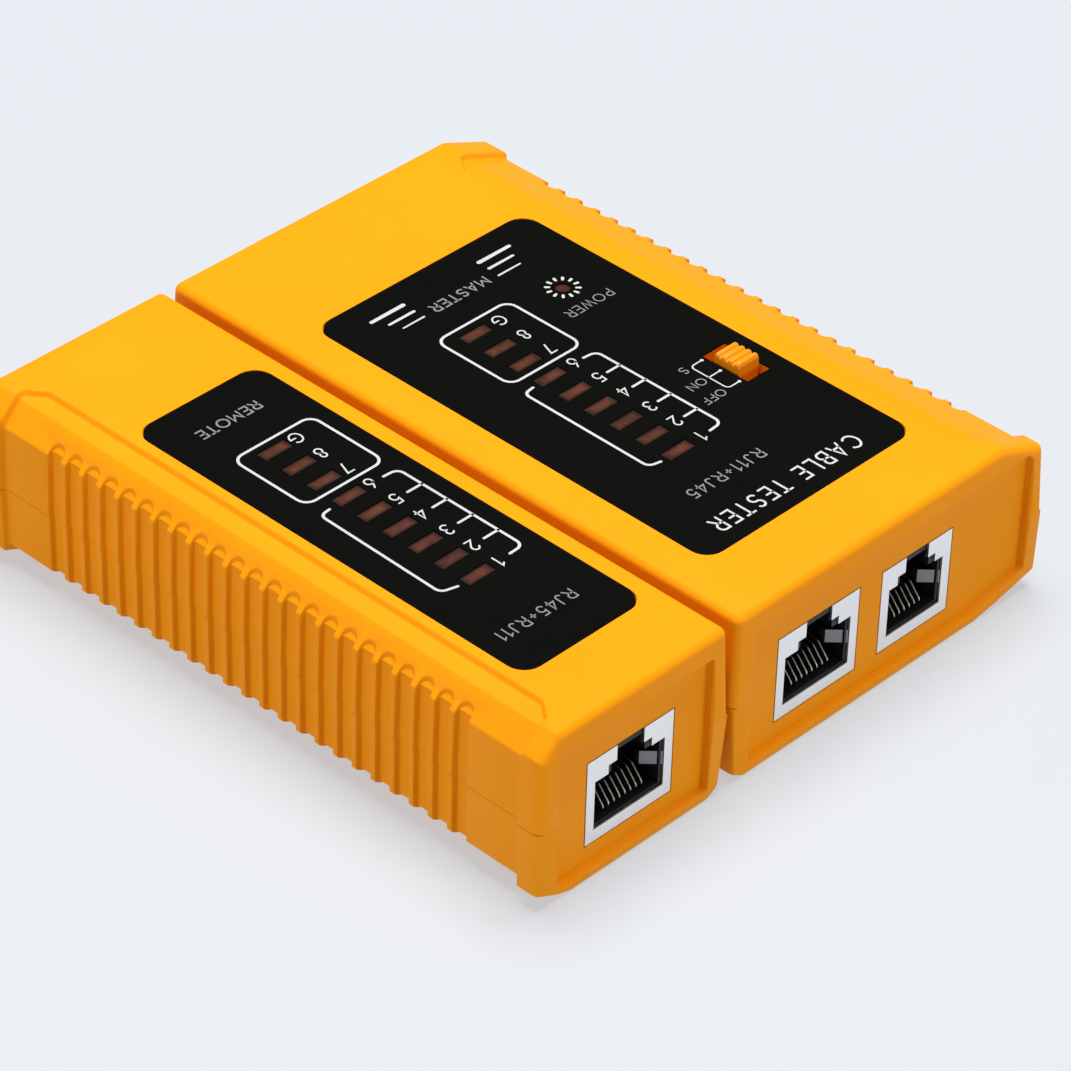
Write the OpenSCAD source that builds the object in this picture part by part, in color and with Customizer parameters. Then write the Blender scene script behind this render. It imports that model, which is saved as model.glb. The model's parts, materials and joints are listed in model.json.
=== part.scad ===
// Network cable tester: a wide master unit and a narrow remote unit docked side by side.
// Millimetres. +Z up, socket end at -Y, remote at -X, master at +X, origin under the middle.

/* [Case] */
// length of both units
body_l = 106.7; // [95:0.1:115]
// height of both units
body_h = 27.2; // [22:0.1:32]
// half of the docked width
half_w = 49.25; // [40:0.05:60]
// width of the master unit
master_w = 62.6; // [55:0.1:70]
// width of the remote unit
remote_w = 35.3; // [28:0.1:42]
// height of the line where the case halves meet
part_z = 12.8; // [8:0.1:18]
// wall thickness
wall = 2; // [1.5:0.1:3]
// edge rounding, cut as two flats
edge_r = 1.4; // [0.5:0.1:3]
// depth of the socket panel behind the rim
panel_in = 1.6; // [1:0.1:3]

/* [Grip] */
// depth of the grip recess in the outer side
grip_in = 0.9; // [0.5:0.1:2]
// drop of the top face at the grip
grip_drop = 0.8; // [0.4:0.1:1.5]
// near end of the grip recess
grip_y0 = -49.3; // [-51:0.1:-45]
// far end of the grip recess
grip_y1 = 47.8; // [45:0.1:51]
// number of grip grooves
groove_n = 23; // [10:1:30]
// groove pitch
groove_pitch = 3.465; // [2.5:0.005:5]
// half width of a groove
groove_half = 1.28; // [0.8:0.02:1.5]
// depth of a groove in the side
groove_deep = 0.75; // [0.3:0.05:1]
// first groove centre
groove_y0 = -38.5; // [-42:0.05:-30]

/* [Sockets] */
// underside of the sockets
jack_z = 4.5; // [3:0.1:8]
// socket height
jack_h = 13.5; // [12:0.1:15]
// width of an eight-way socket
jack8_w = 15.9; // [15:0.1:17]
// width of a six-way socket
jack6_w = 14.1; // [12:0.1:15]
// left side of the master eight-way socket
jack8_x = -3.05; // [-6:0.05:5]
// left side of the master six-way socket
jack6_x = 17.5; // [14:0.05:25]
// left side of the remote socket
jackr_x = -38.95; // [-42:0.05:-35]
// socket depth
jack_d = 18; // [14:0.1:21]
// shield sheet thickness
shield_t = 0.3; // [0.2:0.05:0.5]

/* [Lamps] */
// lamp pitch
led_pitch = 4.7; // [4:0.01:6]
// lamp column of the master
led_x = 8.8; // [5:0.05:12]
// first lamp of the master
led_y0 = -22.5; // [-30:0.05:-15]
// lamp column of the remote
ledr_x = -29.55; // [-35:0.05:-25]
// first lamp of the remote
ledr_y0 = -22.95; // [-30:0.05:-15]
// lamp length across the case
led_w = 4.8; // [4:0.1:6]
// lamp width along the case
led_t = 1.9; // [1.5:0.1:3]
// power lamp place, across
power_x = 25.45; // [20:0.05:30]
// power lamp place, along
power_y = 14.6; // [10:0.05:20]

/* [Switch] */
// switch place, across
sw_x = 29.45; // [25:0.05:33]
// switch place, along
sw_y = -14.2; // [-20:0.05:-8]
// slot width
sw_w = 4.6; // [4:0.1:6]
// slot length
sw_l = 8.4; // [7:0.1:10]
// knob length
knob_l = 4.7; // [4:0.1:6]

/* [Board and battery] */
// underside of the boards
pcb_z = 19.5; // [19:0.1:21]
// board thickness
pcb_t = 1.6; // [1:0.1:2]
// battery length
bat_l = 48.5; // [48:0.1:49]
// battery width
bat_w = 26.5; // [25:0.1:27]
// battery thickness
bat_t = 17.5; // [16:0.1:18]
// battery left side
bat_x = 5; // [3:0.1:10]
// battery near end
bat_y = 1.6; // [1:0.1:4]
// underside of the battery
bat_z = 1.5; // [1.4:0.05:2]

/* [Screws] */
// case screw shank radius
screw_r = 1.2; // [0.8:0.1:1.6]
// case screw head radius
head_r = 2.1; // [1.6:0.1:2.6]

/* [Hidden] */
yf = -body_l / 2;
yb = body_l / 2;
panel_y = yf + panel_in;
roof_z = body_h - wall;
pcb_top = pcb_z + pcb_t;
label_z = body_h - 0.3;
master_x0 = half_w - master_w;
remote_x1 = -half_w + remote_w;
draft_up = 0.7;
draft_dn = 1.1;
seam = 0.25;
round_fn = 32;
// case screw places: x, y, then the foot of the lower boss and the root of the upper one
master_screws_at = [[-6.8, -44.2, 1.5, 25.7], [40, -44.2, 2.7, 24.5], [-5.4, 46.8, 1.5, 25.7],
  [40, 46.8, 2.7, 24.5]];
remote_screws_at = [[-42.6, -43.8, 2.8, 25.6], [-19.6, -43.8, 1.5, 25.7], [-42.6, 46.4, 2.8, 25.6],
  [-19.6, 46.4, 1.5, 25.7]];
pcb_screws_at = [[-5, -28], [37, -28], [-5, 18], [37, 18]];
pcbr_screws_at = [[-41, -28], [-20, -28]];
yellow = [0.93, 0.55, 0.06];
dark = [0.07, 0.07, 0.07];
metal = [0.8, 0.8, 0.82];
gold = [0.85, 0.66, 0.25];
green = [0.05, 0.3, 0.14];

// distance inwards from a unit's outer side, as a case x
function side_x(s, u) = s * (half_w - u);
function side_pts(s, pts) = [for (p = pts) [side_x(s, p[0]), p[1]]];

module along_y(pts, y0, y1)
  translate([0, y1, 0]) rotate([90, 0, 0]) linear_extrude(y1 - y0) polygon(pts);

module along_x(pts, x0, x1)
  translate([x0, 0, 0]) rotate([90, 0, 90]) linear_extrude(x1 - x0) polygon(pts);

module block(x0, x1, y0, y1, z0, z1)
  translate([x0, y0, z0]) cube([x1 - x0, y1 - y0, z1 - z0]);

module post(x, y, z0, z1, r) translate([x, y, z0]) cylinder(r = r, h = z1 - z0, $fn = round_fn);

// upper half of a cross-section: [corner depth, corner height, depth where the slope meets the top]
function upper_section(w, u1, z1, u2) = [
  [seam, part_z], [seam, part_z + seam], [0, part_z + seam], [0.5, z1 - 0.9], [u1, z1],
  [u2, body_h], [w - draft_up - edge_r, body_h], [w - draft_up - edge_r * 0.3, body_h - edge_r * 0.3],
  [w - draft_up, body_h - edge_r], [w, part_z + seam], [w - seam, part_z + seam], [w - seam, part_z]];

function lower_section(w, u2) = [
  [0.1, part_z], [0.25, 2.6], [u2, 0], [w - 3, 0], [w - draft_dn, 1.2], [w - 0.1, part_z]];

module upper_block(s, w, u1, z1, u2) intersection() {
  along_y(side_pts(s, upper_section(w, u1, z1, u2)), yf, yb);
  along_x([[yf + seam, part_z], [yf + seam, part_z + seam], [yf, part_z + seam],
    [yf + 0.4, body_h - edge_r], [yf + 0.4 + edge_r * 0.3, body_h - edge_r * 0.3], [yf + 0.4 + edge_r, body_h],
    [yb - 0.4 - edge_r, body_h], [yb - 0.4 - edge_r * 0.3, body_h - edge_r * 0.3], [yb - 0.4, body_h - edge_r],
    [yb, part_z + seam], [yb - seam, part_z + seam], [yb - seam, part_z]], -half_w - 1, half_w + 1);
  corner_prism(s, w, part_z - 1, body_h + 1);
}

module lower_block(s, w, u2) intersection() {
  along_y(side_pts(s, lower_section(w, u2)), yf, yb);
  along_x([[yf + 0.1, part_z], [yf + 0.35, 0.4], [yf + 0.75, 0], [yb - 0.75, 0], [yb - 0.35, 0.4],
    [yb - 0.1, part_z]], -half_w - 1, half_w + 1);
  corner_prism(s, w, -1, part_z + 1);
}

// plan outline with cut vertical corners
module corner_prism(s, w, z0, z1) translate([0, 0, z0]) linear_extrude(z1 - z0)
  polygon(side_pts(s, [[0, yf + 1.1], [1.1, yf], [w - 0.9, yf], [w, yf + 0.9],
    [w, yb - 0.9], [w - 0.9, yb], [1.1, yb], [0, yb - 1.1]]));

// plan of one groove from the outer side inwards: its inner end, at depth u1, is arched
function groove_plan(s, y, u1) = side_pts(s, [[-1, y - groove_half], [u1 - 0.85, y - groove_half],
  [u1 - 0.4, y - groove_half * 0.83], [u1 - 0.1, y - groove_half * 0.45], [u1, y],
  [u1 - 0.1, y + groove_half * 0.45], [u1 - 0.4, y + groove_half * 0.83],
  [u1 - 0.85, y + groove_half], [-1, y + groove_half]]);

// the grooves' whole plan, as upright prisms
module groove_prisms(s, u1, z0, z1) for (i = [0 : groove_n - 1])
  translate([0, 0, z0]) linear_extrude(z1 - z0) polygon(groove_plan(s, groove_y0 + i * groove_pitch, u1));

// plan of the grip recess: square at the side, cut diagonally on the top
module grip_plan(s, step_u, slope_u, z0, z1) translate([0, 0, z0]) linear_extrude(z1 - z0)
  polygon(side_pts(s, [[-1, grip_y0], [slope_u, grip_y0], [step_u, grip_y0 + 2.7],
    [step_u, grip_y1 - 2.7], [slope_u, grip_y1], [-1, grip_y1]]));

// grip recess of an upper half
module upper_grip(s, step_u, slope_u, foot_z) intersection() {
  along_y(side_pts(s, [[-1, part_z - 1], [grip_in, part_z - 1], [grip_in, part_z + seam],
    [grip_in + 0.2, foot_z], [slope_u, body_h - grip_drop], [step_u - 0.3, body_h - grip_drop],
    [step_u, body_h], [step_u, body_h + 1], [-1, body_h + 1]]), grip_y0, grip_y1);
  grip_plan(s, step_u, slope_u, part_z - 2, body_h + 2);
}

// grooves of an upper half: they run up the side and end on the slope, u1 deep
module upper_grooves(s, slope_u, foot_z, u1) {
  lean = (body_h - grip_drop - foot_z) / (slope_u - grip_in - 0.2);
  fold_u = grip_in + 0.2 + groove_deep;
  intersection() {
    along_y(side_pts(s, [[-1, part_z - 1], [grip_in + groove_deep, part_z - 1],
      [fold_u, foot_z - 0.6 + lean * groove_deep], [u1 + 1, foot_z - 0.6 + lean * (u1 + 0.8 - grip_in)],
      [u1 + 1, body_h + 2], [-1, body_h + 2]]), grip_y0, grip_y1);
    groove_prisms(s, u1, part_z - 2, body_h + 3);
  }
}

module lower_grip(s, u2) {
  along_y(side_pts(s, [[-1, part_z + 1], [grip_in + 0.1, part_z + 1], [grip_in + 0.1, part_z],
    [grip_in + 0.1, 3.6], [u2 * 0.55 + 1, 1.9], [u2 * 0.55, -1], [-1, -1]]), grip_y0, grip_y1);
}

// grooves of a lower half: down the side and along the slope under it
module lower_grooves(s, u2) {
  lean = 1.7 / (u2 * 0.55 + 0.9 - grip_in);
  for (i = [0 : groove_n - 1]) along_y(side_pts(s, [[-1, part_z + 1], [grip_in + groove_deep, part_z + 1],
    [grip_in + groove_deep + 0.1, part_z], [grip_in + groove_deep + 0.1, 4.2 - lean * groove_deep],
    [u2 * 0.55 + 1, 2.5], [u2 * 0.55 + 1, -1], [-1, -1]]),
    groove_y0 + i * groove_pitch - groove_half, groove_y0 + i * groove_pitch + groove_half);
}

// socket-end recess inside the rim, from depth u0 to u1, its lower outer corner following the case
module rim_recess(s, u0, u1, z0, cut_u) along_y(side_pts(s, [[u0, z0], [u0, 22.4], [u0 + 1, 23.5], [u1, 23.5],
  [u1, 1.6], [cut_u, 1.6]]), yf - 1, panel_y);

module screw_hole(p, z0, z1, r) post(p[0], p[1], z0, z1, r);

/* ---------- master case ---------- */
master_cavity = [[3.2, 5.6], [3.2, 21.2], [11.5, 24.4], [13.5, roof_z], [master_w - 2.8, roof_z],
  [master_w - 2.8, wall], [12.5, wall]];

module master_top_shell() color(yellow) difference() {
  union() {
    difference() {
      upper_block(1, master_w, 0.7, 23.9, 9.2);
      upper_grip(1, 12.45, 9.3, 23);
      upper_grooves(1, 9.3, 23, 2.85);
      intersection() {
        along_y(side_pts(1, master_cavity), panel_y + wall, yb - wall);
        block(-60, 60, -60, 60, part_z - 1, body_h);
      }
      rim_recess(1, 2.75, master_w - 4, 3.9, 12.6);
    }
    for (p = master_screws_at) post(p[0], p[1], 13.4, p[3], 2.6);
    for (p = pcb_screws_at) post(p[0], p[1], pcb_top, roof_z + 0.5, 2.2);
  }
  for (p = master_screws_at) screw_hole(p, 13, 22, screw_r + 0.1);
  for (p = pcb_screws_at) screw_hole(p, 20, 24.2, 0.9);
  block(-6.5, 34.9, -41.8, 31.5, label_z, body_h + 1);
  for (i = [0 : 8]) lamp_hole(led_x, led_y0 + i * led_pitch);
  post(power_x, power_y, 20, body_h + 1, 1.6);
  block(sw_x - sw_w / 2, sw_x + sw_w / 2, sw_y - sw_l / 2, sw_y + sw_l / 2, 20, body_h + 1);
  jack_hole(jack8_x, jack8_w);
  jack_hole(jack6_x, jack6_w);
}

module lamp_hole(x, y)
  block(x - led_w / 2 - 0.15, x + led_w / 2 + 0.15, y - led_t / 2 - 0.15, y + led_t / 2 + 0.15, 24, body_h + 1);

module jack_hole(x, w) block(x - 0.1, x + w + 0.1, yf - 1, panel_y + 3, jack_z - 0.1, jack_z + jack_h + 0.1);

module screw_sink(p) {
  post(p[0], p[1], -1, 6.3, head_r + 0.3);
  post(p[0], p[1], 6.2, 20, screw_r + 0.3);
}

door_x0 = 3.6;
door_x1 = 32.9;
door_y0 = -1;

module master_bottom_shell() color(yellow) difference() {
  union() {
    difference() {
      lower_block(1, master_w, 12.5);
      lower_grip(1, 12.5);
      lower_grooves(1, 12.5);
      intersection() {
        along_y(side_pts(1, master_cavity), panel_y + wall, yb - wall);
        block(-60, 60, -60, 60, -1, part_z + 1);
      }
      rim_recess(1, 2.75, master_w - 4, 3.9, 12.6);
    }
    for (p = master_screws_at) post(p[0], p[1], p[2], part_z + 0.4, 3.2);
    // dock channel block inside the inner wall, and battery bay walls
    block(-11.8, -8.9, -40, yb - 1, wall - 0.5, 11.2);
    block(bat_x - 2.6, bat_x - 0.4, -0.6, yb - 1, wall - 0.5, 11.5);
    block(bat_x + bat_w + 0.4, bat_x + bat_w + 2.6, -0.6, yb - 1, wall - 0.5, 11.5);
    block(-9.5, 0.5, -8.6, -7.4, wall - 0.5, 9);
    block(31, 38, -8.6, -7.4, 1.8, 9);
  }
  for (p = master_screws_at) screw_sink(p);
  // dock channel
  block(-15, -11.4, -38, yb + 1, 5, 9);
  block(-11.6, -10.1, -38, yb + 1, 4, 10);
  // battery door opening, its side grooves and the bay above it
  block(door_x0, door_x1, door_y0, yb + 1, -1, 1.65);
  block(door_x0 - 1.1, door_x1 + 1.1, door_y0 + 2, yb + 1, 0.5, 1.25);
  block(bat_x - 0.4, bat_x + bat_w + 0.4, door_y0 + 1.5, yb - wall, 0.5, 12);
  jack_hole(jack8_x, jack8_w);
  jack_hole(jack6_x, jack6_w);
}

module battery_door() color(yellow) difference() {
  intersection() {
    union() {
      block(door_x0 + 0.3, door_x1 - 0.3, door_y0 + 0.3, yb + 1, 0, 1.35);
      block(door_x0 - 0.75, door_x1 + 0.75, door_y0 + 3, yb + 1, 0.7, 1.05);
    }
    along_x([[door_y0, -1], [door_y0, 3], [yb - 0.6, 3], [yb - 0.6, 1.1], [yb - 1.7, 0],
      [yb - 1.7, -1]], -5, 40);
  }
  // finger grooves near the far end
  for (i = [0 : 4]) block(12, 24.5, 38 + i * 2, 39 + i * 2, -1, 0.35);
}

/* ---------- master face ---------- */
module label_sheet(x0, x1, y0, y1) difference() {
  union() {
    block(x0 + 2.8, x1 - 2.8, y0, y1, label_z, label_z + 0.25);
    block(x0, x1, y0 + 2.8, y1 - 2.8, label_z, label_z + 0.25);
    for (x = [x0 + 3, x1 - 3], y = [y0 + 3, y1 - 3]) post(x, y, label_z, label_z + 0.25, 2.9);
  }
}

module master_label() color(dark) difference() {
  label_sheet(-6.35, 34.75, -41.65, 31.35);
  for (i = [0 : 8]) lamp_hole(led_x, led_y0 + i * led_pitch);
  post(power_x, power_y, 20, body_h + 1, 1.6);
  block(sw_x - sw_w / 2, sw_x + sw_w / 2, sw_y - sw_l / 2, sw_y + sw_l / 2, 20, body_h + 1);
}

module lamp_row(x, y0) for (i = [0 : 8]) {
  block(x - led_w / 2, x + led_w / 2, y0 + i * led_pitch - led_t / 2, y0 + i * led_pitch + led_t / 2,
    22.2, body_h - 0.1);
}

module lamp_pins(x, y0) for (i = [0 : 8], k = [-1.27, 1.27])
  block(x + k - 0.25, x + k + 0.25, y0 + i * led_pitch - 0.25, y0 + i * led_pitch + 0.25, pcb_z - 0.2, 22.2);

module master_leds() color([0.43, 0.23, 0.17]) lamp_row(led_x, led_y0);
module master_led_pins() color(metal) {
  lamp_pins(led_x, led_y0);
  for (k = [-1.27, 1.27]) block(power_x + k - 0.25, power_x + k + 0.25, power_y - 0.25, power_y + 0.25,
    pcb_z - 0.2, pcb_top);
}

module lamp_holder(x, y0) difference() {
  block(x - 3.6, x + 3.6, y0 - 2.8, y0 + 8 * led_pitch + 2.8, pcb_top, roof_z - 0.2);
  for (i = [0 : 8]) block(x - led_w / 2 - 0.1, x + led_w / 2 + 0.1, y0 + i * led_pitch - led_t / 2 - 0.1,
    y0 + i * led_pitch + led_t / 2 + 0.1, 20, 27);
}

module master_led_holder() color(dark) lamp_holder(led_x, led_y0);

module power_led() color([0.5, 0.1, 0.08]) {
  post(power_x, power_y, 21.6, 26.9, 1.5);
  post(power_x, power_y, pcb_top, 22.3, 1.9);
}

/* ---------- slide switch ---------- */
module switch_knob() color([0.9, 0.45, 0.06]) difference() {
  union() {
    block(sw_x - 2.05, sw_x + 2.05, sw_y - knob_l / 2, sw_y + knob_l / 2, 24.7, 27.9);
    // skirt that closes the slot under the roof
    block(sw_x - 2.9, sw_x + 2.9, sw_y - 6.1, sw_y + 6.1, 24.6, 24.9);
    for (i = [0 : 3]) along_x([[sw_y - 2.05 + i * 1.2 - 0.1, 27.8], [sw_y - 2.05 + i * 1.2, 28.7],
      [sw_y - 2.05 + i * 1.2 + 0.5, 28.7], [sw_y - 2.05 + i * 1.2 + 0.6, 27.8]], sw_x - 2.05, sw_x + 2.05);
  }
  block(sw_x - 1.15, sw_x + 1.15, sw_y - 1.35, sw_y + 1.35, 24, 26.9);
}

module switch_slider() color(dark) {
  block(sw_x - 3.3, sw_x + 3.3, sw_y - 3.5, sw_y + 3.5, 21.7, 23.7);
  block(sw_x - 1.1, sw_x + 1.1, sw_y - 1.3, sw_y + 1.3, 23.6, 26.8);
}

module switch_frame() color(metal) difference() {
  block(sw_x - 4, sw_x + 4, sw_y - 6.8, sw_y + 6.8, pcb_top, 24.3);
  block(sw_x - 3.6, sw_x + 3.6, sw_y - 6.4, sw_y + 6.4, 20, 24);
  block(sw_x - 1.5, sw_x + 1.5, sw_y - 3.6, sw_y + 3.6, 23.9, 26);
}

module switch_terminals() color(metal) for (x = [-2, 2], i = [-1 : 1]) {
  block(sw_x + x - 0.4, sw_x + x + 0.4, sw_y + i * 2.5 - 0.25, sw_y + i * 2.5 + 0.25, pcb_z - 1, 21.5);
}

/* ---------- boards ---------- */
module board_hole(x, y, r) post(x, y, 15, 25, r);

module master_pcb() color(green) difference() {
  block(-8.8, 44.6, -47.5, 23, pcb_z, pcb_top);
  for (p = pcb_screws_at) board_hole(p[0], p[1], 1.3);
  for (p = master_screws_at) board_hole(p[0], p[1], 3);
  lamp_pin_holes(led_x, led_y0);
  for (k = [-1.27, 1.27]) block(power_x + k - 0.35, power_x + k + 0.35, power_y - 0.35, power_y + 0.35, 15, 25);
  for (x = [-2, 2], i = [-1 : 1]) block(sw_x + x - 0.5, sw_x + x + 0.5, sw_y + i * 2.5 - 0.35,
    sw_y + i * 2.5 + 0.35, 15, 25);
}

module lamp_pin_holes(x, y0) for (i = [0 : 8], k = [-1.27, 1.27])
  block(x + k - 0.35, x + k + 0.35, y0 + i * led_pitch - 0.35, y0 + i * led_pitch + 0.35, 15, 25);

module remote_pcb() color(green) difference() {
  block(-45, -17.6, -47.5, 24, pcb_z, pcb_top);
  for (p = pcbr_screws_at) board_hole(p[0], p[1], 1.3);
  for (p = remote_screws_at) board_hole(p[0], p[1], 2.7);
  lamp_pin_holes(ledr_x, ledr_y0);
}

module dip_legs(x, y, n) for (s = [-1, 1], i = [0 : n - 1])
  block(x + s * 3.55 - 0.35, x + s * 3.55 + 0.35, y + (i - (n - 1) / 2) * 2.54 - 0.35,
    y + (i - (n - 1) / 2) * 2.54 + 0.35, 17.4, pcb_z);

module master_counter_chip() color(dark) difference() {
  block(20.2, 26.6, -31, -11.4, 15.9, 19.2);
  translate([23.4, -31, 15.4]) cylinder(r = 1, h = 1, $fn = round_fn);
}
module master_timer_chip() color(dark) block(0, 6.4, -26, -16.6, 15.9, 19.2);
module master_chip_legs() color(metal) {
  dip_legs(23.4, -21.2, 8);
  dip_legs(3.2, -21.3, 4);
}
module master_resistors() color([0.75, 0.62, 0.42]) for (i = [0 : 5])
  translate([10.2, -29.6 + i * 3.4, 18.35]) rotate([0, 90, 0]) cylinder(r = 1.1, h = 6.2, $fn = round_fn);
module master_capacitor() color([0.1, 0.12, 0.25]) post(33.5, -20, 11.5, pcb_z, 2.6);
module remote_diodes() color([0.7, 0.25, 0.1]) for (i = [0 : 7])
  translate([-38.4 + i * 2.3, -18, 18.6]) rotate([90, 0, 0]) cylinder(r = 0.85, h = 4.2, $fn = round_fn);
module remote_resistors() color([0.75, 0.62, 0.42]) for (i = [0 : 3])
  translate([-38, -2 + i * 4, 18.35]) rotate([0, 90, 0]) cylinder(r = 1.1, h = 6.2, $fn = round_fn);

/* ---------- sockets ---------- */
// w: socket width, ow: front window width, nw: latch notch width
module jack_window(x, w, ow, nw, grow, y0, y1) {
  c = x + w / 2;
  block(c - ow / 2 - grow, c + ow / 2 + grow, y0, y1, jack_z + 1.9 - grow, jack_z + 9.7 + grow);
  block(c - nw / 2 - 1.5, c + nw / 2 + 1.5, y0, y1, jack_z + 9, jack_z + 11.1);
  block(c - nw / 2, c + nw / 2, y0, y1, jack_z + 11, jack_z + jack_h + 1);
}

module jack_shield(x, w, ow, nw) color(metal) difference() {
  block(x, x + w, panel_y, panel_y + jack_d, jack_z, jack_z + jack_h);
  block(x + shield_t, x + w - shield_t, panel_y + shield_t, panel_y + jack_d + 1,
    jack_z + shield_t, jack_z + jack_h - shield_t);
  jack_window(x, w, ow, nw, 0, panel_y - 1, panel_y + 1);
  block(x + w / 2 - nw / 2, x + w / 2 + nw / 2, panel_y - 1, panel_y + 3, jack_z + 12, jack_z + 15);
}

module jack_insert(x, w, sw, nw) color(dark) difference() {
  c = x + w / 2;
  union() {
    block(x + 0.4, x + w - 0.4, panel_y + 0.4, panel_y + jack_d - 0.2, jack_z + 0.4, jack_z + jack_h - 0.4);
    for (k = [-3.2, 3.2]) block(c + k - 1, c + k + 1, panel_y + jack_d, panel_y + jack_d + 2,
      jack_z + 1, pcb_z);
    block(c - 4.2, c + 4.2, panel_y + jack_d - 0.3, panel_y + jack_d + 2, jack_z + 1, jack_z + 6);
  }
  block(c - sw / 2, c + sw / 2, panel_y, panel_y + 14.5, jack_z + 2.3, jack_z + 9.4);
  block(c - nw / 2 - 0.6, c + nw / 2 + 0.6, panel_y, panel_y + 9, jack_z + 9, jack_z + 11);
  block(c - nw / 2 + 0.1, c + nw / 2 - 0.1, panel_y, panel_y + 6, jack_z + 10.8, jack_z + 12.4);
}

module jack_contacts(x, w, n) color(gold) for (i = [0 : n - 1]) {
  c = x + w / 2 + (i - (n - 1) / 2) * 1.02;
  along_x([[panel_y + 2, jack_z + 2.35], [panel_y + 14, jack_z + 2.35], [panel_y + 14, jack_z + 4.6],
    [panel_y + 9.5, jack_z + 4.6], [panel_y + 9.5, jack_z + 4.2], [panel_y + 13.6, jack_z + 4.2],
    [panel_y + 13.6, jack_z + 2.75], [panel_y + 2.4, jack_z + 2.75], [panel_y + 9.4, jack_z + 4.3],
    [panel_y + 9.3, jack_z + 4.7], [panel_y + 2, jack_z + 3]], c - 0.22, c + 0.22);
}

module rj45_shield_master() jack_shield(jack8_x, jack8_w, 12.9, 5);
module rj45_insert_master() jack_insert(jack8_x, jack8_w, 11.9, 5);
module rj45_contacts_master() jack_contacts(jack8_x, jack8_w, 8);
module rj11_shield() jack_shield(jack6_x, jack6_w, 10.9, 4.6);
module rj11_insert() jack_insert(jack6_x, jack6_w, 9.9, 4.6);
module rj11_contacts() jack_contacts(jack6_x, jack6_w, 6);
module rj45_shield_remote() jack_shield(jackr_x, jack8_w, 12.9, 5);
module rj45_insert_remote() jack_insert(jackr_x, jack8_w, 11.9, 5);
module rj45_contacts_remote() jack_contacts(jackr_x, jack8_w, 8);

/* ---------- battery ---------- */
bat_cx = bat_x + bat_w / 2;
bat_cz = bat_z + bat_t / 2;
term_x = 6.35;

module battery() color([0.15, 0.18, 0.3]) difference() {
  block(bat_x, bat_x + bat_w, bat_y, bat_y + bat_l, bat_z, bat_z + bat_t);
  for (x = [bat_x, bat_x + bat_w], z = [bat_z, bat_z + bat_t]) translate([x, bat_y - 1, z])
    rotate([-90, 45, 0]) translate([-1, -1, 0]) cube([2, 2, bat_l + 2]);
}

module end_post(x, y0, y1, z, r)
  translate([x, y1, z]) rotate([90, 0, 0]) cylinder(r = r, h = y1 - y0, $fn = round_fn);

module battery_terminals() color(metal) {
  end_post(bat_cx - term_x, bat_y - 2.8, bat_y, bat_cz, 2.9);
  difference() {
    end_post(bat_cx + term_x, bat_y - 2.8, bat_y, bat_cz, 4.2);
    end_post(bat_cx + term_x, bat_y - 4, bat_y - 0.6, bat_cz, 3);
  }
}

module battery_snap() color(dark) {
  block(bat_cx - 12.6, bat_cx + 12.6, bat_y - 4.6, bat_y - 2.9, bat_cz - 6, bat_cz + 6);
  difference() {
    end_post(bat_cx - term_x, bat_y - 3, bat_y - 0.6, bat_cz, 4.2);
    end_post(bat_cx - term_x, bat_y - 2.9, bat_y, bat_cz, 3);
  }
  end_post(bat_cx + term_x, bat_y - 3, bat_y - 0.7, bat_cz, 2.85);
}

module lead(x) {
  end_post(x, -6.4, bat_y - 4.6, bat_cz, 0.6);
  translate([x, -6.4, bat_cz]) sphere(r = 0.66, $fn = round_fn);
  post(x, -6.4, bat_cz, pcb_z, 0.6);
}

module battery_lead_red() color([0.7, 0.05, 0.04]) lead(bat_cx + 3);
module battery_lead_black() color(dark) lead(bat_cx - 3);
module battery_foam() color([0.25, 0.25, 0.27])
  block(bat_x + 1, bat_x + bat_w - 1, bat_y + bat_l, yb - wall, bat_z + 1, bat_z + bat_t - 1);

/* ---------- screws ---------- */
module cross_screw(x, y, z, len, r, hr) difference() {
  union() {
    post(x, y, z, z + 1.5, hr);
    post(x, y, z + 1.4, z + len, r);
  }
  block(x - hr * 0.6, x + hr * 0.6, y - 0.3, y + 0.3, z - 1, z + 0.8);
  block(x - 0.3, x + 0.3, y - hr * 0.6, y + hr * 0.6, z - 1, z + 0.8);
}

module case_screws(places) color(metal) for (p = places) cross_screw(p[0], p[1], 4.8, 14.4, screw_r, head_r);
module board_screws(places) color(metal) for (p = places) cross_screw(p[0], p[1], pcb_z - 1.5, 5, 0.85, 1.9);
module master_screws() case_screws(master_screws_at);
module remote_screws() case_screws(remote_screws_at);
module pcb_screws_master() board_screws(pcb_screws_at);
module pcb_screws_remote() board_screws(pcbr_screws_at);

/* ---------- remote ---------- */
remote_cavity = [[3.2, 5.2], [3.2, 21], [5.8, 24.1], [8.2, 24.2], [9.4, roof_z], [remote_w - 2.8, roof_z],
  [remote_w - 2.8, wall], [6.4, wall]];

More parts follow.
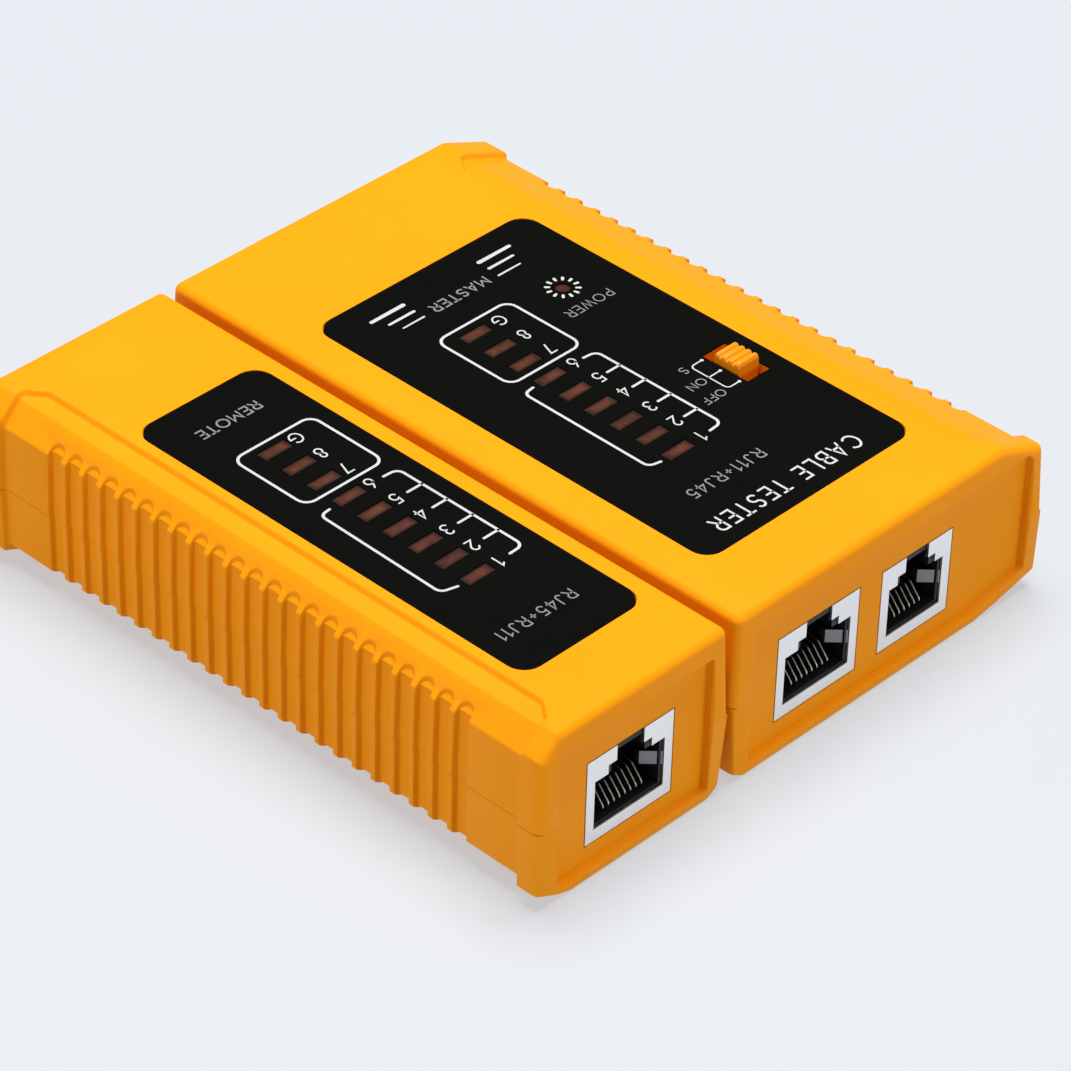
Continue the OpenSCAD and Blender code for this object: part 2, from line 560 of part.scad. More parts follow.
module remote_top_shell() color(yellow) difference() {
  union() {
    difference() {
      upper_block(-1, remote_w, 0.7, 24.3, 3.8);
      upper_grip(-1, 7.3, 4.1, 23);
      upper_grooves(-1, 4.1, 23, 2.65);
      intersection() {
        along_y(side_pts(-1, remote_cavity), panel_y + wall, yb - wall);
        block(-60, 60, -60, 60, part_z - 1, body_h);
      }
      rim_recess(-1, 3.9, remote_w - 3.25, 3.2, 5.6);
    }
    for (p = remote_screws_at) post(p[0], p[1], 13.4, p[3], 2.3);
    for (p = pcbr_screws_at) post(p[0], p[1], pcb_top, roof_z + 0.5, 2.2);
  }
  for (p = remote_screws_at) screw_hole(p, 13, 22, screw_r + 0.1);
  for (p = pcbr_screws_at) screw_hole(p, 20, 24.2, 0.9);
  block(-40.5, -17.8, -41.9, 30.7, label_z, body_h + 1);
  for (i = [0 : 8]) lamp_hole(ledr_x, ledr_y0 + i * led_pitch);
  jack_hole(jackr_x, jack8_w);
}

module remote_bottom_shell() color(yellow) difference() {
  union() {
    difference() {
      lower_block(-1, remote_w, 6.4);
      lower_grip(-1, 6.4);
      lower_grooves(-1, 6.4);
      intersection() {
        along_y(side_pts(-1, remote_cavity), panel_y + wall, yb - wall);
        block(-60, 60, -60, 60, -1, part_z + 1);
      }
      rim_recess(-1, 3.9, remote_w - 3.25, 3.2, 5.6);
    }
    for (p = remote_screws_at) post(p[0], p[1], p[2], part_z + 0.4, 2.8);
    for (y = [-10, 16]) block(-43, -16, y, y + 1.2, 1.9, 8);
    // dock rail
    block(-15.5, -11.2, -37.6, 50, 5.3, 8.7);
    block(-11.3, -10.4, -37.6, 50, 4.3, 9.7);
  }
  for (p = remote_screws_at) screw_sink(p);
  jack_hole(jackr_x, jack8_w);
}

module remote_label() color(dark) difference() {
  label_sheet(-40.35, -17.95, -41.75, 30.55);
  for (i = [0 : 8]) lamp_hole(ledr_x, ledr_y0 + i * led_pitch);
}

module remote_leds() color([0.43, 0.23, 0.17]) lamp_row(ledr_x, ledr_y0);
module remote_led_pins() color(metal) lamp_pins(ledr_x, ledr_y0);
module remote_led_holder() color(dark) lamp_holder(ledr_x, ledr_y0);

master_top_shell();
master_bottom_shell();
battery_door();
master_label();
master_leds();
master_led_pins();
master_led_holder();
power_led();
switch_knob();
switch_slider();
switch_frame();
switch_terminals();
master_pcb();
master_counter_chip();
master_timer_chip();
master_chip_legs();
master_resistors();
master_capacitor();
rj45_shield_master();
rj45_insert_master();
rj45_contacts_master();
rj11_shield();
rj11_insert();
rj11_contacts();
battery();
battery_terminals();
battery_snap();
battery_lead_red();
battery_lead_black();
battery_foam();
master_screws();
pcb_screws_master();
remote_top_shell();
remote_bottom_shell();
remote_label();
remote_leds();
remote_led_pins();
remote_led_holder();
remote_pcb();
remote_diodes();
remote_resistors();
rj45_shield_remote();
rj45_insert_remote();
rj45_contacts_remote();
remote_screws();
pcb_screws_remote();
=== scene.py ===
"""Looks of the network cable tester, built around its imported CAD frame.

Shapes are worked out in millimetres in the row frame and made in metres.
u is the distance inwards from a unit's outer side, so the same numbers serve both units.
"""

import json
import math

import bmesh
import bpy
from mathutils import Matrix, Vector


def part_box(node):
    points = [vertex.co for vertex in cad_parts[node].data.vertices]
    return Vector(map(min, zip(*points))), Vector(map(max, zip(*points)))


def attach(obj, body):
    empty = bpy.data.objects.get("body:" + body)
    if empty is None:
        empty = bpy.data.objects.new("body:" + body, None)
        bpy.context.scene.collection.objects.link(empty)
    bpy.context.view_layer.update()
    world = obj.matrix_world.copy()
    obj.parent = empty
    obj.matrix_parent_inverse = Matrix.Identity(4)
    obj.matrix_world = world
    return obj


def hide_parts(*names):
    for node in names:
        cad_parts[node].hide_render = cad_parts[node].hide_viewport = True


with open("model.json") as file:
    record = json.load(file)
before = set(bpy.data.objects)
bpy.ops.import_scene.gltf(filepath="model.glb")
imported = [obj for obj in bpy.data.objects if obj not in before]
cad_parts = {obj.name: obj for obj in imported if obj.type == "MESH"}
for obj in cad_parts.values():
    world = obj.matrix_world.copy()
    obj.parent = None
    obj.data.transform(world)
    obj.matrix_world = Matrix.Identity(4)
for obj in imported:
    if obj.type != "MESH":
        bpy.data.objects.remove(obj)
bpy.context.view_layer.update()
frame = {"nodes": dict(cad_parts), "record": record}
NODES = frame["nodes"]
SCENE = bpy.context.scene
MM = 0.001

# ---------------------------------------------------------------- sizes, in mm, as in the CAD
HALF_W = 49.25
LENGTH = 106.7
HEIGHT = 27.2
Y_FRONT, Y_BACK = -LENGTH / 2, LENGTH / 2
SEAM_Z = 12.8
PANEL_Y = Y_FRONT + 1.6
EDGE_R = 1.35
GRIP_Y0, GRIP_Y1 = -49.3, 47.8
GROOVE_N, GROOVE_PITCH, GROOVE_Y0 = 23, 3.465, -38.5
GROOVE_HALF, GROOVE_DEEP, GROOVE_DROP = 1.28, 0.85, 0.6
BUMPER_LOW = (0.25, 2.6)
GRIP_TOP_U, GRIP_SEAM_U, GRIP_LOW_U, GRIP_LOW_Z = 1.1, 0.9, 1.0, 3.6
LABEL_Z = 26.9
JACK_Z, JACK_H, JACK_GAP, WIRE_PITCH = 4.5, 13.5, 0.2, 1.02
LED_PITCH, LED_W, LED_T, LED_COUNT, LED_GAP = 4.7, 4.8, 1.9, 9, 0.15
LABEL_GAP, LABEL_R = 0.04, 2.95
WINDOW_Z = (24, 29)                 # from below the top wall to above it
BOARD_BOSS, CASE_HOLE, BOARD_HOLE = (21.1, 25.7, 2.2), (13, 22, 1.3), (20, 24.2, 0.9)   # z0, z1, radius
POWER_LAMP = (25.45, 14.6)
SWITCH_SLOT = (27.15, 31.75, -18.4, -10.0)
PRINT_Z = 27.15

# screws: x, y, foot and top of the boss. blocks and slots: x, x, y, y, z, z, added to or cut from the base.
UNITS = {
    "master": {
        "side": 1, "width": 62.6, "jacks": [(-3.05, 15.9), (17.5, 14.1)],
        "brow": (0.55, 23.6), "slope_in": 9.2, "foot": 23.0, "shoulder": 9.3, "step": 12.45,
        "groove_end": 2.85, "rim": (2.75, 58.6), "rim_cut": (3.9, 12.6), "bottom": 12.5,
        "cavity": [(3.2, 5.6), (3.2, 21.2), (11.5, 24.4), (13.5, 25.2), (59.8, 25.2), (59.8, 2), (12.5, 2)],
        "label": (-6.35, 34.75, -41.65, 31.35), "led": (8.8, -22.5),
        "screws": [(-6.8, -44.2, 1.5, 25.7), (40, -44.2, 2.7, 24.5), (-5.4, 46.8, 1.5, 25.7),
                   (40, 46.8, 2.7, 24.5)],
        "board_screws": [(-5, -28), (37, -28), (-5, 18), (37, 18)], "boss_up": 2.6, "boss_down": 3.2,
        "blocks": [(-11.8, -8.9, -40, 52.35, 1.5, 11.2), (2.4, 4.6, -0.6, 52.35, 1.5, 11.5),
                   (31.9, 34.1, -0.6, 52.35, 1.5, 11.5), (-9.5, 0.5, -8.6, -7.4, 1.5, 9),
                   (31, 38, -8.6, -7.4, 1.8, 9)],
        "slots": [(-15, -11.4, -38, 54.35, 5, 9), (-11.6, -10.1, -38, 54.35, 4, 10),
                  (3.6, 32.9, -1, 54.35, -1, 1.65), (2.5, 34.0, 1, 54.35, 0.5, 1.25),
                  (4.6, 31.9, 0.5, 51.35, 0.5, 12)],
    },
    "remote": {
        "side": -1, "width": 35.3, "jacks": [(-38.95, 15.9)],
        "brow": (0.55, 24.1), "slope_in": 3.8, "foot": 23.0, "shoulder": 4.1, "step": 7.3,
        "groove_end": 2.63, "rim": (3.9, 32.05), "rim_cut": (3.2, 5.6), "bottom": 6.4,
        "cavity": [(3.2, 5.2), (3.2, 21), (5.8, 24.1), (8.2, 24.2), (9.4, 25.2), (32.5, 25.2), (32.5, 2),
                   (6.4, 2)],
        "label": (-40.35, -17.95, -41.75, 30.55), "led": (-29.55, -22.95),
        "screws": [(-42.6, -43.8, 2.8, 25.6), (-19.6, -43.8, 1.5, 25.7), (-42.6, 46.4, 2.8, 25.6),
                   (-19.6, 46.4, 1.5, 25.7)],
        "board_screws": [(-41, -28), (-20, -28)], "boss_up": 2.3, "boss_down": 2.8,
        "blocks": [(-43, -16, -10, -8.8, 1.9, 8), (-43, -16, 16, 17.2, 1.9, 8),
                   (-15.5, -11.2, -37.6, 50, 5.3, 8.7), (-11.3, -10.4, -37.6, 50, 4.3, 9.7)],
        "slots": [],
    },
}


# ---------------------------------------------------------------- node material helpers
class Nodes:
    """A short way to write a procedural material."""

    def __init__(self, name, **sockets):
        self.material = bpy.data.materials.new(name)
        self.material.use_nodes = True
        self.tree = self.material.node_tree
        self.shader = self.tree.nodes["Principled BSDF"]
        for key, value in sockets.items():
            self.set(key, value)
        self.coords = self.tree.nodes.new("ShaderNodeTexCoord")

    def set(self, key, value):
        socket = self.shader.inputs[key.replace("_", " ")]
        if hasattr(value, "is_linked"):
            self.tree.links.new(value, socket)
        else:
            socket.default_value = (*value, 1) if isinstance(value, tuple) else value

    def add(self, kind, inputs=None, **attributes):
        node = self.tree.nodes.new(kind)
        for key, value in attributes.items():
            setattr(node, key, value)
        for key, value in (inputs or {}).items():
            socket = node.inputs[key]
            if hasattr(value, "is_linked"):
                self.tree.links.new(value, socket)
            else:
                socket.default_value = value
        return node

    def noise(self, scale, detail=2.0, rough=0.5, stretch=None):
        vector = self.coords.outputs["Object"]
        if stretch:
            vector = self.add("ShaderNodeMapping", {"Vector": vector, "Scale": stretch}).outputs[0]
        return self.add("ShaderNodeTexNoise", {
            "Vector": vector, "Scale": scale, "Detail": detail, "Roughness": rough}).outputs["Fac"]

    def ramp(self, fac, low, high, from_min=0.3, from_max=0.7):
        return self.add("ShaderNodeMapRange", {
            "Value": fac, "From Min": from_min, "From Max": from_max,
            "To Min": low, "To Max": high}).outputs[0]

    def maths(self, operation, a, b=0.0):
        return self.add("ShaderNodeMath", {0: a, 1: b}, operation=operation).outputs[0]

    def blend(self, fac, a, b):
        node = self.add("ShaderNodeMix", {"Factor": fac}, data_type="RGBA")
        for socket, colour in ((node.inputs[6], a), (node.inputs[7], b)):
            if hasattr(colour, "is_linked"):
                self.tree.links.new(colour, socket)
            else:
                socket.default_value = (*colour, 1)
        return node.outputs[2]

    def bump(self, height, distance, strength=1.0, normal=None):
        node = self.add("ShaderNodeBump", {"Height": height, "Distance": distance, "Strength": strength})
        if normal:
            self.tree.links.new(normal, node.inputs["Normal"])
        return node.outputs[0]


def moulded(name, colour, dark, roughness, grain=0.00002, grain_scale=2600.0, gloss=0.35):
    """Spark-textured moulded plastic: slow colour drift, fine grain, gloss that varies a little."""
    m = Nodes(name)
    m.set("Base_Color", m.blend(m.ramp(m.noise(45.0, 3.0), 0.0, 1.0), colour, dark))
    m.set("Roughness", m.ramp(m.noise(300.0, 4.0), roughness - 0.05, roughness + 0.06))
    m.set("Normal", m.bump(m.noise(grain_scale, 3.0, 0.6), grain, 0.5))
    m.set("Specular_IOR_Level", gloss)
    return m.material


def metal(name, colour, roughness, brush=None, grime=0.85):
    m = Nodes(name, Metallic=1.0)
    dark = tuple(c * grime for c in colour)
    m.set("Base_Color", m.blend(m.ramp(m.noise(140.0, 4.0), 0.0, 1.0), colour, dark))
    m.set("Roughness", m.ramp(m.noise(700.0, 3.0, 0.6, brush), roughness - 0.07, roughness + 0.08))
    m.set("Normal", m.bump(m.noise(900.0, 2.0, 0.5, brush), 0.00001, 0.3))
    return m.material


def lamp_material(name, colour, dark, row=None):
    """Tinted window: uneven, as the diffuser behind it is. row is the (x, y) of the first window of a row;
    with it, painted shade darkens each window towards its edges.
    """
    m = Nodes(name, Roughness=0.42)
    tint = m.blend(m.ramp(m.noise(420.0, 2.0), 0.0, 1.0, 0.35, 0.65), colour, dark)
    if row:
        # painted shade: each window darkens towards its edges, where the walls of its hole shade it
        axes = m.add("ShaderNodeSeparateXYZ", {"Vector": m.coords.outputs["Object"]}).outputs
        across = m.maths("ABSOLUTE", m.maths("SUBTRACT", axes["X"], row[0] * MM))
        along = m.maths("PINGPONG", m.maths("SUBTRACT", axes["Y"], row[1] * MM), LED_PITCH / 2 * MM)
        edge_x = m.ramp(across, 0.0, 1.0, (LED_W / 2 - 1.0) * MM, (LED_W / 2 - 0.1) * MM)
        edge_y = m.ramp(along, 0.0, 1.0, (LED_T / 2 - 0.6) * MM, (LED_T / 2 - 0.05) * MM)
        edge = m.maths("MULTIPLY", m.maths("MAXIMUM", edge_x, edge_y), 0.85)
        tint = m.blend(edge, tint, (0.008, 0.005, 0.004))
    m.set("Base_Color", tint)
    m.set("Normal", m.bump(m.noise(1500.0, 2.0), 0.00001, 0.4))
    m.set("Specular_IOR_Level", 0.12)
    return m.material


def board_material(name):
    """Green solder resist with the faint relief of the copper under it."""
    m = Nodes(name, Roughness=0.32)
    cells = m.add("ShaderNodeTexBrick", {
        "Vector": m.coords.outputs["Object"], "Scale": 260.0, "Mortar Size": 0.12,
        "Brick Width": 1.4, "Row Height": 0.42}).outputs["Fac"]
    m.set("Base_Color", m.blend(cells, (0.012, 0.115, 0.045), (0.02, 0.19, 0.075)))
    m.set("Normal", m.bump(cells, 0.00003, 0.6))
    return m.material


def striped(name, body, band, scale, roughness=0.4):
    """Body with painted bands along the part, as on a resistor or a diode."""
    m = Nodes(name, Roughness=roughness)
    wave = m.add("ShaderNodeTexWave", {"Vector": m.coords.outputs["Object"], "Scale": scale},
                 bands_direction="X").outputs["Fac"]
    m.set("Base_Color", m.blend(m.ramp(wave, 0.0, 1.0, 0.82, 0.86), body, band))
    return m.material


def foam_material(name):
    m = Nodes(name, Roughness=0.95)
    cell = m.add("ShaderNodeTexVoronoi", {
        "Vector": m.coords.outputs["Object"], "Scale": 1600.0}).outputs["Distance"]
    m.set("Base_Color", m.blend(cell, (0.03, 0.03, 0.034), (0.09, 0.09, 0.1)))
    m.set("Normal", m.bump(cell, 0.0002, 0.8))
    return m.material


LAMP_BRIGHT, LAMP_DIM = (0.105, 0.028, 0.014), (0.055, 0.016, 0.010)
M = {
    "case_plastic": moulded("case_plastic", (0.86, 0.300, 0.0035), (0.83, 0.283, 0.003), 0.46, gloss=0.06),
    "label_film": moulded("label_film", (0.0034, 0.0036, 0.0030), (0.0028, 0.0030, 0.0026), 0.42,
                          0.000004, 1800.0, 0.015),
    "print_white": moulded("print_white", (0.55, 0.55, 0.56), (0.48, 0.48, 0.49), 0.5, 0.000003, 3000.0, 0.1),
    "print_grey": moulded("print_grey", (0.25, 0.25, 0.26), (0.20, 0.20, 0.21), 0.5, 0.000003, 3000.0, 0.1),
    "lamp_window": lamp_material("lamp_window", LAMP_BRIGHT, LAMP_DIM),
    "power_lamp": lamp_material("power_lamp", (0.075, 0.02, 0.011), (0.05, 0.015, 0.01)),
    "black_plastic": moulded("black_plastic", (0.010, 0.010, 0.011), (0.007, 0.007, 0.008), 0.45),
    "knob_plastic": moulded("knob_plastic", (0.88, 0.27, 0.004), (0.85, 0.25, 0.003), 0.36, gloss=0.2),
    # the skirt is the knob's orange darkened: painted shade down in the switch slot
    "skirt_painted_shade": moulded("skirt_painted_shade", (0.50, 0.115, 0.006), (0.42, 0.095, 0.005), 0.5, gloss=0.05),
    # the tongue is shield steel, painted much darker than shield_steel as the shade inside the socket mouth
    "tongue_steel_painted_shade": metal("tongue_steel_painted_shade", (0.22, 0.22, 0.23), 0.36, (1.0, 1.0, 14.0), 0.9),
    "tinned_steel": metal("tinned_steel", (0.66, 0.66, 0.67), 0.33),
    "shield_steel": metal("shield_steel", (0.86, 0.87, 0.88), 0.34, (1.0, 1.0, 14.0), 0.96),
    # nickel-gold contact metal, dimmed below its real brightness as painted shade inside the socket mouths
    "contact_gold": metal("contact_gold", (0.44, 0.41, 0.36), 0.3),
    "board": board_material("board"),
    "resistor_body": striped("resistor_body", (0.42, 0.30, 0.16), (0.12, 0.03, 0.01), 160.0),
    "diode_glass": striped("diode_glass", (0.42, 0.10, 0.03), (0.02, 0.02, 0.02), 110.0, 0.15),
    "capacitor_sleeve": moulded("capacitor_sleeve", (0.02, 0.03, 0.10), (0.016, 0.022, 0.08), 0.3),
    "battery_jacket": moulded("battery_jacket", (0.03, 0.04, 0.09), (0.022, 0.03, 0.07), 0.28),
    "lead_red": moulded("lead_red", (0.42, 0.018, 0.012), (0.34, 0.014, 0.01), 0.42),
    "lead_black": moulded("lead_black", (0.012, 0.012, 0.012), (0.008, 0.008, 0.008), 0.42),
    "foam": foam_material("foam"),
    "screw_steel": metal("screw_steel", (0.62, 0.62, 0.63), 0.3),
}


def paint(obj, slot):
    obj.data.materials.clear()
    obj.data.materials.append(M[slot])


# ---------------------------------------------------------------- mesh helpers
def make(name, bm, body, slot, smooth=35.0, replaces=()):
    """Turns a bmesh in millimetres into a piece that rides on a body."""
    bmesh.ops.recalc_face_normals(bm, faces=bm.faces)
    mesh = bpy.data.meshes.new(name)
    bm.to_mesh(mesh)
    bm.free()
    mesh.transform(Matrix.Scale(MM, 4))
    obj = bpy.data.objects.new(name, mesh)
    SCENE.collection.objects.link(obj)
    finish_mesh(obj, smooth)
    obj.data.materials.append(M[slot])
    if body:
        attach(obj, body)
    if replaces:
        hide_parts(*replaces)
    return obj


def finish_mesh(obj, smooth):
    obj.data.polygons.foreach_set("use_smooth", [True] * len(obj.data.polygons))
    obj.data.set_sharp_from_angle(angle=math.radians(smooth))


def fillet(corners, n=5):
    """Rounds the inner corners of a line: corners are (a, b, radius). Every corner gives n + 1 points."""
    out = [Vector(corners[0][:2])]
    for before, here, after in zip(corners, corners[1:], corners[2:]):
        p = Vector(here[:2])
        d0, d1 = Vector(before[:2]) - p, Vector(after[:2]) - p
        l0, l1 = d0.length, d1.length
        d0, d1 = d0 / max(l0, 1e-9), d1 / max(l1, 1e-9)
        angle = d0.angle(d1, math.pi)
        if angle > math.pi - 0.02 or l0 < 1e-6 or l1 < 1e-6:
            span = min(here[2], 0.3 * l0, 0.3 * l1)
            out += [p + d0 * span * (1 - 2 * k / n) if k <= n / 2 else p + d1 * span * (2 * k / n - 1)
                    for k in range(n + 1)]
            continue
        t = min(here[2] / math.tan(angle / 2), 0.48 * l0, 0.48 * l1)
        r = t * math.tan(angle / 2)
        centre = p + (d0 + d1).normalized() * (r / math.sin(angle / 2))
        a, b = p + d0 * t - centre, p + d1 * t - centre
        turn = a.angle(b)
        for k in range(n + 1):
            f = k / n
            out.append(centre + (a * math.sin((1 - f) * turn) + b * math.sin(f * turn)) / math.sin(turn))
    out.append(Vector(corners[-1][:2]))
    return out


def ring_faces(bm, rings, caps=True):
    """Joins rings of points into a closed tube."""
    verts = [[bm.verts.new(p) for p in ring] for ring in rings]
    n = len(rings[0])
    for a, b in zip(verts, verts[1:]):
        for i in range(n):
            bm.faces.new((a[i], a[(i + 1) % n], b[(i + 1) % n], b[i]))
    if caps:
        bm.faces.new(verts[0])
        bm.faces.new(list(reversed(verts[-1])))
    return verts


def box_mesh(bm, x0, x1, y0, y1, z0, z1):
    ring_faces(bm, [[(x0, y, z0), (x1, y, z0), (x1, y, z1), (x0, y, z1)] for y in (y0, y1)])


def circle(x, y, z, r, n):
    """n points on a level circle, counted from its +X side."""
    return [(x + r * math.cos(2 * math.pi * i / n), y + r * math.sin(2 * math.pi * i / n), z)
            for i in range(n)]


def cylinder(bm, x, y, z0, z1, r, n=24):
    ring_faces(bm, [circle(x, y, z, r, n) for z in (z0, z1)])


def cut(target, cutter_bm):
    """Takes the cutter's volume out of a piece, and applies it."""
    bmesh.ops.recalc_face_normals(cutter_bm, faces=cutter_bm.faces)
    mesh = bpy.data.meshes.new("cutter")
    cutter_bm.to_mesh(mesh)
    cutter_bm.free()
    mesh.transform(Matrix.Scale(MM, 4))
    tool = bpy.data.objects.new("cutter", mesh)
    SCENE.collection.objects.link(tool)
    mod = target.modifiers.new("cut", "BOOLEAN")
    mod.operation, mod.solver, mod.object, mod.use_self = "DIFFERENCE", "EXACT", tool, True
    graph = bpy.context.evaluated_depsgraph_get()
    result = bpy.data.meshes.new_from_object(target.evaluated_get(graph))
    target.modifiers.remove(mod)
    old, target.data = target.data, result
    bpy.data.meshes.remove(old)
    bpy.data.objects.remove(tool)
    bpy.data.meshes.remove(mesh)


# ---------------------------------------------------------------- case halves
def upper_corners(unit, t, step, e):
    """Corners of an upper half's section: t is 0 at the bumpers and 1 in the grip, e is the end rounding."""
    w, (bu, bz) = unit["width"], unit["brow"]

    def mix(a, b):
        return a + (b - a) * t

    top = HEIGHT - e
    side = 0.85 * e
    return [
        (mix(0.25, GRIP_SEAM_U + 0.16) + side, SEAM_Z, 0), (mix(0.0, GRIP_SEAM_U) + side, SEAM_Z + 0.2, 0.1),
        (mix(bu, GRIP_TOP_U) + side, mix(bz, unit["foot"]) - e * 0.8, 0.9),
        (mix(unit["slope_in"], unit["shoulder"]) + side * 0.5, mix(top, HEIGHT - 0.8), 1.6 - 0.8 * t),
        (step - 0.45, mix(top, HEIGHT - 0.8), 0.35), (step, top, 0.35),
        (w - 0.7 - side, top, max(EDGE_R - e, 0.12)), (w - side, SEAM_Z + 0.25, 0.1),
        (w - 0.25 - side, SEAM_Z, 0)]


def lower_corners(unit, t, step, e):
    w, b = unit["width"], unit["bottom"]
    foot_u, foot_z = b * 0.55 + 1, 1.9
    low_u, low_z = BUMPER_LOW
    chamfer_z = low_z * (b - foot_u) / (b - low_u)
    e *= 0.35

    def mix(a, c):
        return a + (c - a) * t

    side = 0.6 * e
    return [
        (mix(0.1, GRIP_SEAM_U + 0.1) + side, SEAM_Z, 0),
        (mix(low_u, GRIP_LOW_U) + side, mix(low_z, GRIP_LOW_Z) + e * 0.5, 0.6),
        (foot_u - 0.4, mix(chamfer_z + 0.13, foot_z + 0.1) + e * 0.3, 0.3),
        (foot_u, mix(chamfer_z, chamfer_z - 0.05) + e * 0.3, 0.3),
        (b + side, e * 0.8, 1.0), (w - 3 - side, e * 0.8, 1.0), (w - 1.1 - side, 1.2 + e * 0.5, 0.9),
        (w - 0.1 - side, SEAM_Z, 0)]


def stations(unit):
    """(y, grip share, step place, end rounding) from the socket end to the far end."""
    sh, st = unit["shoulder"] + 1.3, unit["step"]
    ends = [(EDGE_R * (1 - math.cos(math.radians(15 * k))), EDGE_R * (1 - math.sin(math.radians(15 * k))))
            for k in range(7)]
    out = [(Y_FRONT + d, 0.0, sh, e) for d, e in ends]
    blend = [(0.6 * k / 6, (k / 6) ** 2 * (3 - k / 3)) for k in range(7)]
    out += [(GRIP_Y0 - 0.3 + d, t, sh, 0.0) for d, t in blend]
    out += [(GRIP_Y0 + 0.3 + 2.4 * k / 3, 1.0, sh + (st - sh) * k / 3, 0.0) for k in (1, 2, 3)]
    out += [(-30 + 60 * k / 6, 1.0, st, 0.0) for k in range(7)]
    out += [(GRIP_Y1 - 0.3 - 2.4 * k / 3, 1.0, sh + (st - sh) * k / 3, 0.0) for k in (3, 2, 1)]
    out += [(GRIP_Y1 + 0.3 - d, t, sh, 0.0) for d, t in reversed(blend)]
    out += [(Y_BACK - d, 0.0, sh, e) for d, e in reversed(ends)]
    return out


def case_half(unit, upper):
    """Closed solid of one half, before anything is cut from it."""
    corners = upper_corners if upper else lower_corners
    rings = []
    for y, t, step, e in stations(unit):
        near_end = max(0.0, 1 - min(y - Y_FRONT, Y_BACK - y) / 3.5)
        ring = []
        for u, z in fillet(corners(unit, t, step, e)):
            if upper:
                lean = 0.4 * (z - SEAM_Z) / (HEIGHT - SEAM_Z)
            else:
                lean = 0.1 + 0.25 * (SEAM_Z - z) / SEAM_Z
            ring.append((unit["side"] * (HALF_W - u), y + lean * near_end * (1 if y < 0 else -1), z))
        rings.append(ring)
    bm = bmesh.new()
    ring_faces(bm, rings)
    return bm


def rim_cutter(bm, unit):
    """The socket-end recess, flared at the rim so that its edge is rounded."""
    u0, u1 = unit["rim"]
    cut_z, cut_u = unit["rim_cut"]
    outline = [(u0, cut_z), (u0, 22.4), (u0 + 1, 23.5), (u1, 23.5), (u1, 1.6), (cut_u, 1.6)]
    cu, cz = (u0 + u1) / 2, 12.8
    rings = []
    flare = ((Y_FRONT - 1, 0.55), (Y_FRONT - 0.05, 0.55), (Y_FRONT + 0.06, 0.36), (Y_FRONT + 0.2, 0.18),
             (Y_FRONT + 0.4, 0.05), (Y_FRONT + 0.6, 0.0), (PANEL_Y - 0.2, 0.0), (PANEL_Y - 0.06, -0.06),
             (PANEL_Y, -0.2))
    for y, grow in flare:
        grown = [(u + grow * (1 if u > cu else -1), z + grow * (1 if z > cz else -1), 0.6)
                 for u, z in outline]
        closed = [grown[-1], *grown, grown[0]]
        rings.append([(unit["side"] * (HALF_W - u), y, z) for u, z in fillet(closed, 3)[1:-1]])
    ring_faces(bm, rings)


def prism(bm, unit, outline, y0, y1):
    ring_faces(bm, [[(unit["side"] * (HALF_W - u), y, z) for u, z in outline] for y in (y0, y1)])


def round_outline(x0, x1, y0, y1, r):
    """Plan outline of a box with rounded corners, from its +X +Y corner round."""
    loop = []
    corners = ((x1 - r, y1 - r, 0), (x0 + r, y1 - r, 90), (x0 + r, y0 + r, 180), (x1 - r, y0 + r, 270))
    for cx, cy, a0 in corners:
        turns = [math.radians(a0 + 15 * k) for k in range(7)]
        loop += [(cx + r * math.cos(a), cy + r * math.sin(a)) for a in turns]
    return loop


def plan_prism(bm, x0, x1, y0, y1, r, z0, z1):
    loop = round_outline(x0, x1, y0, y1, r)
    ring_faces(bm, [[(x, y, z) for x, y in loop] for z in (z0, z1)])


def jack_cutters(bm, unit):
    for x, w in unit["jacks"]:
        box_mesh(bm, x - JACK_GAP, x + w + JACK_GAP, Y_FRONT - 2, PANEL_Y + 3, JACK_Z - JACK_GAP,
                 JACK_Z + JACK_H + JACK_GAP)


def groove_rows():
    return [GROOVE_Y0 + i * GROOVE_PITCH for i in range(GROOVE_N)]


def both_sides(half_line, y):
    """Plan outline (u, y) from the half that lies towards -Y of a groove's centre line."""
    return [(u, y - v) for u, v in half_line] + [(u, y + v) for u, v in reversed(half_line)]


def unit_ring(unit, outline, height):
    return [(unit["side"] * (HALF_W - u), y, height(u)) for u, y in outline]


def side_groove(bm, unit, y, z_range, land):
    """Takes a groove out of the side wall; land(z) is the depth of the wall beside it."""
    rings = []
    for z in z_range:
        u, h = land(z), GROOVE_HALF
        floor_u = u + GROOVE_DEEP
        half_line = [(-1, h + 0.17), (u - 0.01, h + 0.16), (u + 0.05, h + 0.05), (u + 0.16, h - 0.01),
                     (floor_u - 0.22, h - 0.1), (floor_u - 0.06, h - 0.22), (floor_u, h - 0.45)]
        rings.append(unit_ring(unit, both_sides(half_line, y), lambda _, z=z: z))
    ring_faces(bm, rings)


def slope_groove(bm, unit, y):
    """Takes the groove's arched end out of the slope: upright walls and a floor along the slope."""
    lean = (HEIGHT - 0.8 - unit["foot"]) / (unit["shoulder"] - GRIP_TOP_U)
    end = unit["groove_end"]
    rings = []
    for lift, grow in ((0.0, -0.1), (0.42, -0.04), (0.57, 0.02), (0.7, 0.1), (None, 0.2)):
        h, reach = GROOVE_HALF + grow - 0.02, 0.88 + grow
        half_line = [(0.3, h), (1.2, h)]
        half_line += [(end - 0.88 + reach * math.sin(a), h * math.cos(a))
                      for a in (math.radians(11.25 * k) for k in range(8))]

        def height(u, lift=lift):
            if lift is None:
                return HEIGHT + 1.5
            return unit["foot"] + lean * (u - GRIP_TOP_U) - GROOVE_DROP + lift

        rings.append(unit_ring(unit, both_sides(half_line, y), height))
    ring_faces(bm, rings)


